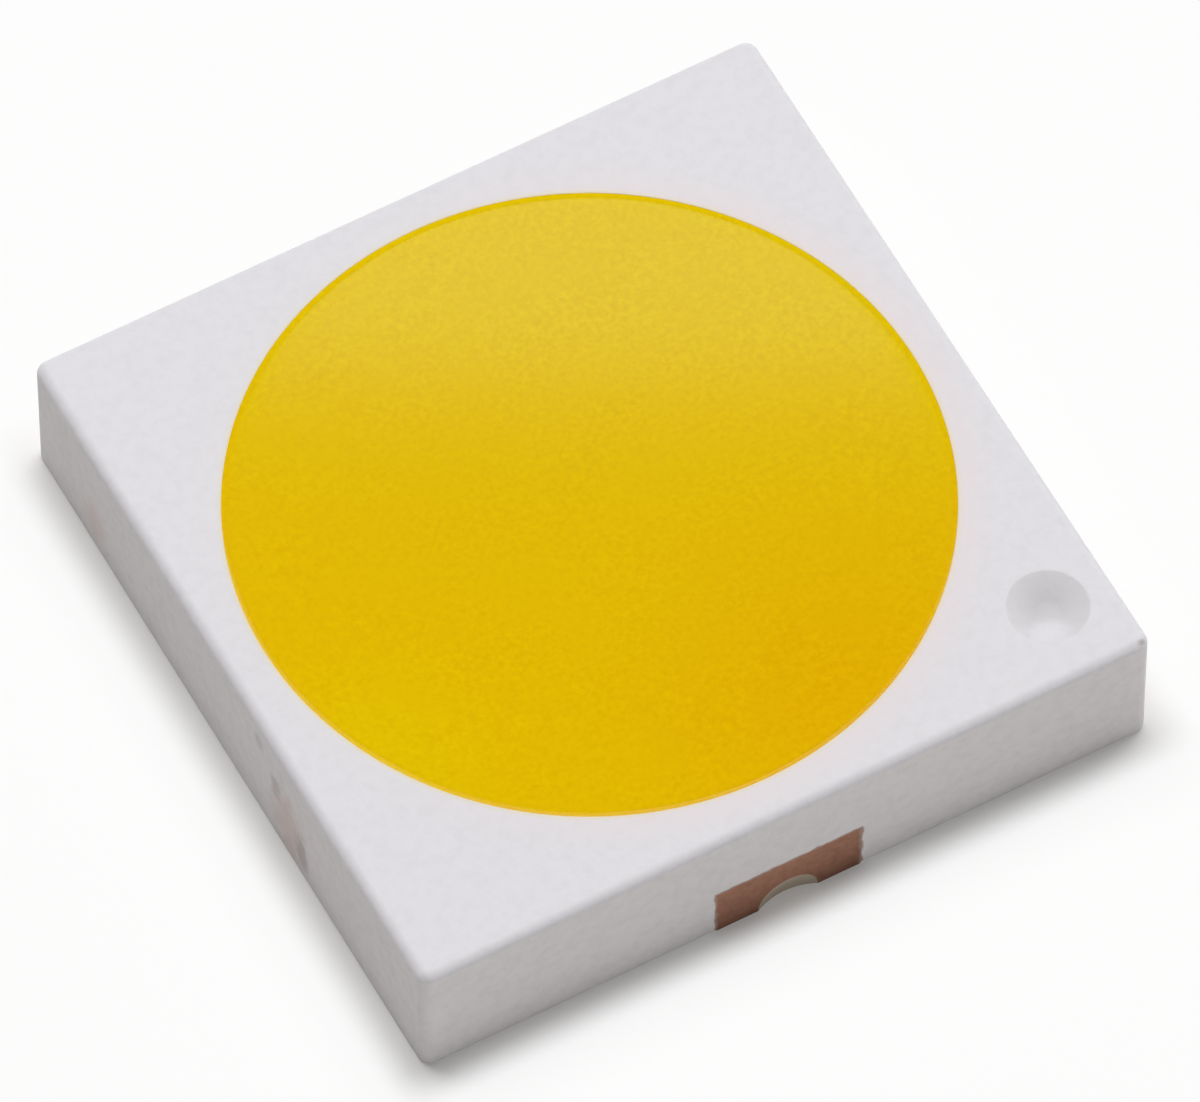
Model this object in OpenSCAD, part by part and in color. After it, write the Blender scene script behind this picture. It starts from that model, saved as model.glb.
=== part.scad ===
// White surface-mount LED with a 3 x 3 mm body, millimetres.
// A white moulded housing grips two half-etched copper leads. Its round cup holds two blue dies in series
// and a small protection diode, all under a yellow phosphor-filled silicone.
// Origin: bottom centre of the body. +Z is the way the light leaves. The solder pads lie at z = 0, with the
// cathode on the -Y side and the anode on the +Y side.

/* [Housing] */
// Width of the body along X
body_w = 3.0; // [2.9:0.05:3.4]
// Length of the body along Y
body_l = 3.0; // [2.9:0.05:3.4]
// Height of the body
body_h = 0.60; // [0.6:0.01:0.9]
// Radius of the four upright corners
corner_r = 0.05; // [0.02:0.01:0.12]
// Radius of the rounded edge round the top face
rim_r = 0.04; // [0.02:0.01:0.08]

/* [Cup and fill] */
// Diameter of the light-emitting window in the top face
window_d = 2.68; // [2.5:0.02:2.8]
// Diameter of the cup floor on the leads
floor_d = 2.10; // [2.06:0.02:2.3]
// Sag of the cured fill at the middle of the window
fill_sag = 0.03; // [0.005:0.005:0.04]

/* [Polarity mark] */
// Diameter of the round dimple that marks the cathode
mark_d = 0.31; // [0.2:0.01:0.34]
// Depth of the dimple
mark_depth = 0.05; // [0.02:0.01:0.08]
// Diameter of the flat tip at the bottom of the dimple
mark_tip_d = 0.06; // [0.02:0.01:0.1]
// Distance of the dimple's centre from the +X side
mark_from_side = 0.26; // [0.24:0.01:0.3]
// Distance of the dimple's centre from the -Y side
mark_from_end = 0.31; // [0.26:0.01:0.34]

/* [Leads] */
// Thickness of the copper strip
lead_t = 0.25; // [0.2:0.01:0.25]
// Depth etched away under the flange of each lead
etch_depth = 0.12; // [0.08:0.01:0.16]
// Width of both solder pads along X
pad_w = 2.30; // [2.1:0.05:2.4]
// Length of the cathode pad along Y
cathode_pad_l = 1.48; // [1.44:0.02:1.56]
// Length of the anode pad along Y
anode_pad_l = 0.48; // [0.44:0.02:0.6]
// Gap between the two pads on the underside
pad_gap = 0.40; // [0.3:0.02:0.5]
// Radius of the pads' corners
pad_corner_r = 0.08; // [0.04:0.01:0.12]
// Width of the half-etched flange round each pad
flange_w = 0.10; // [0.06:0.01:0.12]
// Radius of the half-round lock scallops in the flange's edge
scallop_r = 0.045; // [0.03:0.005:0.055]
// Spacing of the scallops along the flange
scallop_pitch = 0.30; // [0.2:0.05:0.5]

/* [Tabs] */
// Width of the tab that each lead sends to its end face
tab_w = 0.60; // [0.4:0.05:0.9]
// Radius of the half-round solder notch under the tab
notch_r = 0.125; // [0.08:0.005:0.15]
// Depth of the notch in from the end face
notch_l = 0.03; // [0.02:0.01:0.08]

/* [Dies] */
// Width of a light-emitting die along X
die_w = 0.50; // [0.4:0.02:0.54]
// Length of a light-emitting die along Y
die_l = 0.80; // [0.6:0.02:0.84]
// Thickness of a light-emitting die
die_t = 0.15; // [0.1:0.01:0.15]
// Distance between the middles of the two dies
die_pitch = 0.72; // [0.64:0.02:0.74]
// Setback of the dies from the cathode lead's inner edge
die_setback = 0.28; // [0.24:0.02:0.34]
// Inset of the light-emitting layer from the die's sides
mesa_inset = 0.015; // [0.01:0.005:0.02]
// Thickness of the light-emitting layer
mesa_t = 0.01; // [0.005:0.005:0.015]
// Side of the square protection diode
esd_w = 0.20; // [0.16:0.01:0.22]
// Thickness of the protection diode
esd_t = 0.10; // [0.08:0.01:0.14]
// Inset of the protection diode's middle from the cathode lead's inner edge
esd_inset = 0.18; // [0.16:0.01:0.22]

/* [Die attach] */
// Thickness of the cured adhesive under a die
bond_line = 0.01; // [0.006:0.002:0.02]
// Width of the adhesive's fillet round a die
fillet_w = 0.04; // [0.02:0.005:0.045]
// Height that the fillet climbs up a die's sides
fillet_h = 0.05; // [0.03:0.005:0.07]
// Width of the fillet's top edge
fillet_top_w = 0.008; // [0.004:0.001:0.012]
// Clearance between the fillets of neighbouring dies
fillet_gap = 0.02; // [0.01:0.005:0.03]

/* [Bond wires] */
// Diameter of a bond pad on a die
bond_pad_d = 0.09; // [0.08:0.005:0.11]
// Thickness of a bond pad
bond_pad_t = 0.005; // [0.004:0.001:0.01]
// Inset of a bond pad's middle from the die's end
bond_pad_inset = 0.12; // [0.08:0.01:0.16]
// Diameter of the gold wire
wire_d = 0.025; // [0.018:0.001:0.03]
// Diameter of the ball that starts a wire
ball_d = 0.075; // [0.06:0.005:0.08]
// Height of the squashed ball
ball_h = 0.02; // [0.012:0.002:0.025]
// Width of the stitch that ends a wire
stitch_w = 0.05; // [0.035:0.005:0.06]
// Length of the stitch along the wire
stitch_l = 0.08; // [0.05:0.005:0.1]
// Height of the stitch
stitch_h = 0.012; // [0.008:0.002:0.02]
// Rise of the wire loops above the dies
loop_rise = 0.11; // [0.08:0.01:0.12]
// Inset of a stitch from its lead's inner edge
stitch_inset = 0.12; // [0.1:0.01:0.15]
// Sideways shift of the protection diode's stitch towards the middle
esd_stitch_shift = 0.20; // [0.1:0.02:0.3]

/* [Hidden] */

// Facets of the round forms
ROUND = 96;
// Facets of the small round forms
SMALL_ROUND = 32;
// Sides of a bond wire and rings along its loop
WIRE_SIDES = 8;
LOOP_RINGS = 14;
// Rings across the sagging top of the fill
SAG_RINGS = 8;
// Run of a cutter past the face that it cuts
PAST = 0.1;

// Y places along the leads, from the middle of the body
pads_l = cathode_pad_l + pad_gap + anode_pad_l;
cathode_pad_y = -pads_l / 2 + cathode_pad_l / 2;
anode_pad_y = pads_l / 2 - anode_pad_l / 2;
cathode_edge_y = cathode_pad_y + cathode_pad_l / 2 + flange_w;
anode_edge_y = anode_pad_y - anode_pad_l / 2 - flange_w;

// Places of the dies on the cathode lead
die_top_z = lead_t + bond_line + die_t;
dies_y = cathode_edge_y - die_setback - die_l / 2;
die_xs = [-die_pitch / 2, die_pitch / 2];
esd_x = die_pitch / 2 + die_w / 2 + 2 * fillet_w + fillet_gap + esd_w / 2;
esd_y = cathode_edge_y - esd_inset;
esd_top_z = lead_t + bond_line + esd_t;

// Places of the bond pads and stitches
pad_front_y = dies_y + die_l / 2 - bond_pad_inset;
pad_back_y = dies_y - die_l / 2 + bond_pad_inset;
cathode_stitch_y = cathode_edge_y - stitch_inset;
anode_stitch_y = anode_edge_y + stitch_inset;
loop_z = die_top_z + loop_rise;

// Place of the protection diode's stitch, midway from the anode lead's edge to the wall of the cup
esd_stitch_x = esd_x - esd_stitch_shift;
esd_stitch_y = (anode_edge_y + sqrt(pow(floor_d / 2, 2) - pow(esd_stitch_x, 2))) / 2;

// A rectangle with round corners, about the origin
module rounded_rect(w, l, r) {
    square([w - 2 * r, l], center = true);
    square([w, l - 2 * r], center = true);
    for (sx = [-1, 1], sy = [-1, 1])
        translate([sx * (w / 2 - r), sy * (l / 2 - r)])
            circle(r = r, $fn = SMALL_ROUND);
}

// The body's section across its width w, with the two top corners rounded
module body_section(w) {
    translate([-w / 2, 0])
        square([w, body_h - rim_r]);
    translate([-w / 2 + rim_r, 0])
        square([w - 2 * rim_r, body_h]);
    for (side = [-1, 1])
        translate([side * (w / 2 - rim_r), body_h - rim_r])
            circle(r = rim_r, $fn = SMALL_ROUND);
}

// A bar with that section, lying along Y
module body_bar(w, l) {
    translate([0, l / 2 + PAST, 0])
        rotate([90, 0, 0])
            linear_extrude(l + 2 * PAST)
                body_section(w);
}

// The outer form of the body, with round upright corners and a rounded top edge
module body_block() {
    intersection() {
        linear_extrude(body_h + PAST)
            rounded_rect(body_w, body_l, corner_r);
        body_bar(body_w, body_l);
        rotate([0, 0, 90])
            body_bar(body_l, body_w);
    }
}

// Radius of the cup at height z
function cup_r(z) = floor_d / 2 + (window_d - floor_d) / 2 * (z - lead_t) / (body_h - lead_t);

// The cup's cutter, from the leads' top out through the top face
module cup() {
    translate([0, 0, lead_t])
        cylinder(r1 = cup_r(lead_t), r2 = cup_r(body_h + PAST), h = body_h + PAST - lead_t, $fn = ROUND);
}

// Radius of the coned dimple at height h over its tip
function mark_r(h) = mark_tip_d / 2 + (mark_d - mark_tip_d) / 2 * h / mark_depth;

// The dimple's cutter near the corner at +X, -Y
module polarity_mark() {
    translate([body_w / 2 - mark_from_side, -body_l / 2 + mark_from_end, body_h - mark_depth])
        cylinder(r1 = mark_r(0), r2 = mark_r(mark_depth + PAST), h = mark_depth + PAST, $fn = ROUND);
}

// The full-thickness tab of a lead, reaching the end face on the side given by end
module tab(end) {
    tab_l = body_l / 2 - pads_l / 2;
    translate([-tab_w / 2, end > 0 ? pads_l / 2 - pad_corner_r : -body_l / 2, 0])
        cube([tab_w, tab_l + pad_corner_r, lead_t]);
}

// Half-round bites along both long sides of a flange, which lock it in the moulding
module scallops(pad_l) {
    count = floor(pad_l / scallop_pitch);
    for (side = [-1, 1], i = [0 : count - 1])
        translate([side * (pad_w / 2 + flange_w), (i - (count - 1) / 2) * scallop_pitch])
            circle(r = scallop_r, $fn = SMALL_ROUND);
}

// A lead before its notch: the solder pad, the flange left by etching its underside, and the tab
module lead_blank(pad_l, pad_y, end) {
    translate([0, pad_y, 0]) {
        linear_extrude(lead_t)
            rounded_rect(pad_w, pad_l, pad_corner_r);
        translate([0, 0, etch_depth])
            linear_extrude(lead_t - etch_depth)
                difference() {
                    rounded_rect(pad_w + 2 * flange_w, pad_l + 2 * flange_w, pad_corner_r + flange_w);
                    scallops(pad_l);
                }
    }
    tab(end);
}

module cathode_blank() {
    lead_blank(cathode_pad_l, cathode_pad_y, -1);
}

module anode_blank() {
    lead_blank(anode_pad_l, anode_pad_y, 1);
}

// Radius of the ball whose cap is a notch
notch_ball_r = (pow(notch_r, 2) + pow(notch_l, 2)) / (2 * notch_l);

// The shallow scoop etched up into a tab, which the saw leaves open at the end face
module notch(end) {
    translate([0, end * (body_l / 2 - notch_l + notch_ball_r), 0])
        sphere(r = notch_ball_r, $fn = ROUND);
}

// White moulded body: it holds both leads, fills their etched undersides and forms the reflector cup
module housing() {
    color("white")
        difference() {
            body_block();
            cathode_blank();
            anode_blank();
            cup();
            notch(-1);
            notch(1);
            polarity_mark();
        }
}

// Silver-plated copper lead under the dies
module cathode_lead() {
    color("peru")
        difference() {
            cathode_blank();
            notch(-1);
        }
}

// Silver-plated copper lead on the other side of the gap
module anode_lead() {
    color("peru")
        difference() {
            anode_blank();
            notch(1);
        }
}

// A die's outline, w by l and t thick, standing on its adhesive at [x, y]
module chip(x, y, w, l, t) {
    translate([x, y, lead_t + bond_line]) {
        linear_extrude(t - mesa_t)
            square([w, l], center = true);
        linear_extrude(t)
            square([w - 2 * mesa_inset, l - 2 * mesa_inset], center = true);
    }
}

// The adhesive under a die w by l, with the fillet that creeps up its four sides
module adhesive(x, y, w, l) {
    foot_w = w + 2 * fillet_w;
    foot_l = l + 2 * fillet_w;
    top_w = w + 2 * fillet_top_w;
    top_l = l + 2 * fillet_top_w;
    difference() {
        translate([x, y, lead_t])
            linear_extrude(fillet_h, scale = [top_w / foot_w, top_l / foot_l])
                square([foot_w, foot_l], center = true);
        translate([x - w / 2, y - l / 2, lead_t + bond_line])
            cube([w, l, fillet_h]);
    }
}

// A round metal bond pad on a surface at height z
module bond_pad(x, y, z) {
    translate([x, y, z])
        cylinder(d = bond_pad_d, h = bond_pad_t, $fn = SMALL_ROUND);
}

// The two light-emitting dies, sapphire with a thin light-emitting layer on top
module die(i) {
    color("lightskyblue")
        chip(die_xs[i], dies_y, die_w, die_l, die_t);
}

module die_attach(i) {
    color("ivory")
        adhesive(die_xs[i], dies_y, die_w, die_l);
}

// The first die's positive pad faces the anode lead and the second die's lies at the other end, so that one
// short wire joins the two in series
module p_pad(i) {
    color("gold")
        bond_pad(die_xs[i], i == 0 ? pad_front_y : pad_back_y, die_top_z);
}

module n_pad(i) {
    color("gold")
        bond_pad(die_xs[i], i == 0 ? pad_back_y : pad_front_y, die_top_z);
}

module esd_diode() {
    color("dimgray")
        chip(esd_x, esd_y, esd_w, esd_w, esd_t);
}

module esd_attach() {
    color("silver")
        adhesive(esd_x, esd_y, esd_w, esd_w);
}

module esd_top_pad() {
    color("gold")
        bond_pad(esd_x, esd_y, esd_top_z);
}

// A point of the wire's loop between p and q at share t of the way, leaving and landing upright
function loop_point(p, q, top, t) =
    let (peak = (8 * top - p.z - q.z) / 6,
         p2 = [p.x, p.y, peak],
         q2 = [q.x, q.y, peak])
    pow(1 - t, 3) * p + 3 * pow(1 - t, 2) * t * p2 + 3 * (1 - t) * t * t * q2 + pow(t, 3) * q;

// The direction of the loop there
function loop_direction(p, q, top, t) =
    let (step = 0.001,
         a = loop_point(p, q, top, max(t - step, 0)),
         b = loop_point(p, q, top, min(t + step, 1)))
    (b - a) / norm(b - a);

// One ring of a wire about centre c: rs is its half-width across the loop, rn its half-width in the loop's plane
function wire_ring(c, direction, across, rs, rn) =
    let (normal = cross(direction, across))
    [for (k = [0 : WIRE_SIDES - 1])
        let (angle = 360 * (k + 0.5) / WIRE_SIDES)
        c + rs * cos(angle) * across + rn * sin(angle) * normal];

// A bond wire from the ball on a pad at point a to the stitch on a lead or pad at point b
module bond_wire(a, b) {
    flat = [b.x - a.x, b.y - a.y, 0];
    across = cross(flat / norm(flat), [0, 0, 1]);
    up = [0, 0, 1];
    neck = a + ball_h * up;
    foot = b + stitch_h * up;
    rings = concat(
        [wire_ring(a, up, across, ball_d / 2 - ball_h / 4, ball_d / 2 - ball_h / 4),
         wire_ring(a + ball_h / 4 * up, up, across, ball_d / 2, ball_d / 2),
         wire_ring(a + ball_h * 3 / 4 * up, up, across, ball_d / 2 - ball_h / 4, ball_d / 2 - ball_h / 4)],
        [for (i = [0 : LOOP_RINGS])
            let (t = i / LOOP_RINGS)
            wire_ring(loop_point(neck, foot, loop_z, t), loop_direction(neck, foot, loop_z, t), across,
                      wire_d / 2, wire_d / 2)],
        [wire_ring(b, -up, across, stitch_w / 2, stitch_l / 2)]);
    last = len(rings) - 1;
    color("gold")
        polyhedron(
            points = [for (ring = rings, point = ring) point],
            faces = concat(
                [[for (k = [WIRE_SIDES - 1 : -1 : 0]) k]],
                [for (r = [0 : last - 1], k = [0 : WIRE_SIDES - 1])
                    let (m = (k + 1) % WIRE_SIDES)
                    each [[r * WIRE_SIDES + k, r * WIRE_SIDES + m, (r + 1) * WIRE_SIDES + m],
                          [r * WIRE_SIDES + k, (r + 1) * WIRE_SIDES + m, (r + 1) * WIRE_SIDES + k]]],
                [[for (k = [0 : WIRE_SIDES - 1]) last * WIRE_SIDES + k]]));
}

// The height of a bond pad's top on the dies
pad_top_z = die_top_z + bond_pad_t;

module wire_anode_to_die_1() {
    bond_wire([die_xs[0], pad_front_y, pad_top_z], [die_xs[0], anode_stitch_y, lead_t]);
}

module wire_die_1_to_die_2() {
    bond_wire([die_xs[0], pad_back_y, pad_top_z], [die_xs[1], pad_back_y, pad_top_z]);
}

module wire_die_2_to_cathode() {
    bond_wire([die_xs[1], pad_front_y, pad_top_z], [die_xs[1], cathode_stitch_y, lead_t]);
}

module wire_esd_to_anode() {
    bond_wire([esd_x, esd_y, esd_top_z + bond_pad_t], [esd_stitch_x, esd_stitch_y, lead_t]);
}

// The poured fill's outer form: the cup up to the window, with its top sagging slightly to the middle
module fill_block() {
    rotate_extrude($fn = ROUND)
        polygon(concat(
            [[0, lead_t], [cup_r(lead_t), lead_t]],
            [for (i = [0 : SAG_RINGS])
                let (share = 1 - i / SAG_RINGS)
                [share * cup_r(body_h), body_h - fill_sag * (1 - share * share)]]));
}

// Yellow silicone with phosphor powder, cured round everything in the cup
module phosphor_fill() {
    color("gold")
        difference() {
            fill_block();
            for (i = [0, 1]) {
                die(i);
                die_attach(i);
                p_pad(i);
                n_pad(i);
            }
            esd_diode();
            esd_attach();
            esd_top_pad();
            wire_anode_to_die_1();
            wire_die_1_to_die_2();
            wire_die_2_to_cathode();
            wire_esd_to_anode();
        }
}

housing();
cathode_lead();
anode_lead();
phosphor_fill();
die(0);  // die_1
die(1);  // die_2
die_attach(0);  // die_attach_1
die_attach(1);  // die_attach_2
p_pad(0);  // die_1_p_pad
n_pad(0);  // die_1_n_pad
p_pad(1);  // die_2_p_pad
n_pad(1);  // die_2_n_pad
esd_diode();
esd_attach();
esd_top_pad();
wire_anode_to_die_1();
wire_die_1_to_die_2();
wire_die_2_to_cathode();
wire_esd_to_anode();
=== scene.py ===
"""Looks for a white surface-mount LED, 3.0 x 3.0 x 0.6 mm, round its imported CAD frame.

Pieces are modelled in millimetres, as the CAD source gives them, and brought to the frame's metres at the end.
+Z is the way the light leaves, the cathode tab is at -Y and the anode tab at +Y.
"""

import logging
import math
from dataclasses import dataclass, field
from enum import Enum
from typing import Any, Callable, Dict, List, Optional, Sequence, Tuple

import bpy
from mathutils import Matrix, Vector

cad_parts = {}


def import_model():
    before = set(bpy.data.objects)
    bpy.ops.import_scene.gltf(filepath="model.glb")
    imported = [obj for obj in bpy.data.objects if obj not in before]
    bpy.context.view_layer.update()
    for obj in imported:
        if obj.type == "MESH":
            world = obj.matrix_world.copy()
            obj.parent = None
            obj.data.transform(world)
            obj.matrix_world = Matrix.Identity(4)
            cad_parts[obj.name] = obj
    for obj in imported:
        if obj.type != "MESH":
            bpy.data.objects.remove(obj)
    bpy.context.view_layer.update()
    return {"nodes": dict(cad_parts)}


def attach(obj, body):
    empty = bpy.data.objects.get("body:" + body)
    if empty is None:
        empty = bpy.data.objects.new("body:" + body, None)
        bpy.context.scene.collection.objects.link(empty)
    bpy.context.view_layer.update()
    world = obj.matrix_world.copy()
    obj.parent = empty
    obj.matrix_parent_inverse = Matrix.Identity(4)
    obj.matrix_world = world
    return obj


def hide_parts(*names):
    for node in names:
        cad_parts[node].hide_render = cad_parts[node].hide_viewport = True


LOG = logging.getLogger("smd_led")

MM = 0.001
ROOT_BODY = "root"
WHITE = "#FFFFFF"

# In millimetres: how far apart two heights still count as one, two curves do, and two vertices do
LEVEL = 1e-4
NEAR = 1e-3
MERGED = 2e-5
# Edges sharper than this stay sharp, and at this weight the largest faces alone set the normals
SHARP_DEG = 35.0
NORMAL_WEIGHT = 100

Pair = Tuple[float, float]
Triple = Tuple[float, float, float]
Test = Callable[[Vector, Vector], bool]


class Slot(Enum):
    """The record's material slots."""

    COMPOUND = "white_compound"
    LEAD = "plated_copper"
    FILL = "phosphor_silicone"
    DIE = "sapphire_die"
    DIE_GLUE = "die_adhesive"
    GOLD = "gold"
    SILICON = "silicon_die"
    SILVER_GLUE = "silver_adhesive"


class End(Enum):
    """The end face that a lead's tab reaches."""

    CATHODE = -1
    ANODE = 1


# ---------------------------------------------------------------- colour and nodes


class Kind(Enum):
    """Blender's names of the nodes' types."""

    COORDINATES = "ShaderNodeTexCoord"
    SPLIT = "ShaderNodeSeparateXYZ"
    MAPPING = "ShaderNodeMapping"
    MATH = "ShaderNodeMath"
    VECTOR_MATH = "ShaderNodeVectorMath"
    MAP_RANGE = "ShaderNodeMapRange"
    MIX = "ShaderNodeMix"
    NOISE = "ShaderNodeTexNoise"
    BUMP = "ShaderNodeBump"
    LIGHT_PATH = "ShaderNodeLightPath"
    PRINCIPLED = "ShaderNodeBsdfPrincipled"
    DIFFUSE = "ShaderNodeBsdfDiffuse"
    EMISSION = "ShaderNodeEmission"
    MIX_SHADER = "ShaderNodeMixShader"
    BACKGROUND = "ShaderNodeBackground"
    MATERIAL_OUTPUT = "ShaderNodeOutputMaterial"
    WORLD_OUTPUT = "ShaderNodeOutputWorld"


def linear(hex_colour: str) -> Tuple[float, float, float, float]:
    """Turns an sRGB hex colour to the linear values that a socket takes.

    Args:
        hex_colour: Six hex digits after a hash sign.

    Returns:
        Linear red, green and blue, and an alpha of 1.
    """
    shares = [int(hex_colour[i : i + 2], 16) / 255 for i in (1, 3, 5)]
    red, green, blue = (s / 12.92 if s <= 0.04045 else ((s + 0.055) / 1.055) ** 2.4 for s in shares)
    return red, green, blue, 1.0


def add_node(tree: bpy.types.NodeTree, kind: Kind, inputs: Any = (), **settings: Any) -> bpy.types.Node:
    """Adds a node, gives it its settings and fills its inputs.

    Args:
        tree: The node tree that takes the node.
        kind: The node's type.
        inputs: What the inputs take, in their order or by their names or numbers: a node, whose first output in
            use is linked, an output socket, a hex colour, or a plain value.
        settings: Values by attribute name.

    Returns:
        The new node.
    """
    node = tree.nodes.new(kind.value)
    for name, value in settings.items():
        setattr(node, name, value)
    for key, value in inputs.items() if isinstance(inputs, dict) else enumerate(inputs):
        if isinstance(value, bpy.types.Node):
            value = next(output for output in value.outputs if output.enabled)
        if isinstance(value, bpy.types.NodeSocket):
            tree.links.new(value, node.inputs[key])
        else:
            node.inputs[key].default_value = linear(value) if isinstance(value, str) else value
    return node


def metres(*lengths_mm: float) -> Tuple[float, ...]:
    """Lengths in millimetres as lengths in metres, which object coordinates are in."""
    return tuple(length * MM for length in lengths_mm)


@dataclass(frozen=True)
class Grain:
    """A noise pattern: the width of its features in millimetres, its finer layers and how strong they are."""

    width_mm: float
    layers: float = 2.0
    strength: float = 0.5

    def inputs(self, place: Any) -> Dict[str, Any]:
        """The pattern as a noise node's inputs, on the coordinates of place."""
        scale = 1 / (self.width_mm * MM)
        return {"Vector": place, "Scale": scale, "Detail": self.layers, "Roughness": self.strength}


@dataclass(frozen=True)
class Ground:
    """A material under way, with the object coordinates that its patterns read."""

    material: bpy.types.Material
    tree: bpy.types.NodeTree
    place: bpy.types.NodeSocket

    def split(self) -> Tuple[Any, ...]:
        """The coordinates without their signs, and what they split to: X across, Y out to an end, and height."""
        folded = add_node(self.tree, Kind.VECTOR_MATH, [self.place], operation="ABSOLUTE")
        return (folded, *add_node(self.tree, Kind.SPLIT, [folded]).outputs)

    def radius(self) -> bpy.types.Node:
        """The distance from the window's axis."""
        flat = add_node(self.tree, Kind.VECTOR_MATH, [self.place, (1, 1, 0)], operation="MULTIPLY")
        return add_node(self.tree, Kind.VECTOR_MATH, [flat], operation="LENGTH")

    def close(self, inputs: Dict[str, Any]) -> bpy.types.Material:
        """Ends the material with its shader, whose sockets take inputs."""
        add_node(self.tree, Kind.MATERIAL_OUTPUT, [add_node(self.tree, Kind.PRINCIPLED, inputs)])
        return self.material


def start_material(name: str) -> Ground:
    """Starts a node material of the given name, with an empty tree."""
    material = bpy.data.materials.new(name)
    material.use_nodes = True
    tree = material.node_tree
    tree.nodes.clear()
    return Ground(material, tree, add_node(tree, Kind.COORDINATES).outputs["Object"])


@dataclass(frozen=True)
class Mark:
    """A soft patch on a surface: its middle and half-sizes in millimetres, colour, strength and unevenness."""

    middle: Triple
    reach: Triple
    colour: str
    strength: float
    ragged: float = 0.9
    core: float = 0.7
    grain: Grain = Grain(0.05)

    def laid_over(self, on: Ground, colour: Any) -> bpy.types.Node:
        """Lays the mark over a colour.

        Args:
            on: The material under way.
            colour: The colour beneath.

        Returns:
            The node of the new colour.
        """
        tree = on.tree
        away = add_node(tree, Kind.VECTOR_MATH, [on.place, metres(*self.middle)], operation="SUBTRACT")
        sizes = tuple(1 / size for size in metres(*self.reach))
        scaled = add_node(tree, Kind.VECTOR_MATH, [away, sizes], operation="MULTIPLY")
        reach = add_node(tree, Kind.VECTOR_MATH, [scaled], operation="LENGTH")
        uneven = add_node(tree, Kind.NOISE, self.grain.inputs(on.place))
        edge = add_node(tree, Kind.MATH, [uneven, self.ragged, reach], operation="MULTIPLY_ADD")
        span = (1 + self.ragged / 2, self.core, 0.0, self.strength)
        share = add_node(tree, Kind.MAP_RANGE, [edge, *span], interpolation_type="SMOOTHSTEP")
        return add_node(tree, Kind.MIX, {0: share, 6: colour, 7: self.colour}, data_type="RGBA")


# ---------------------------------------------------------------- finishes


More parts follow.
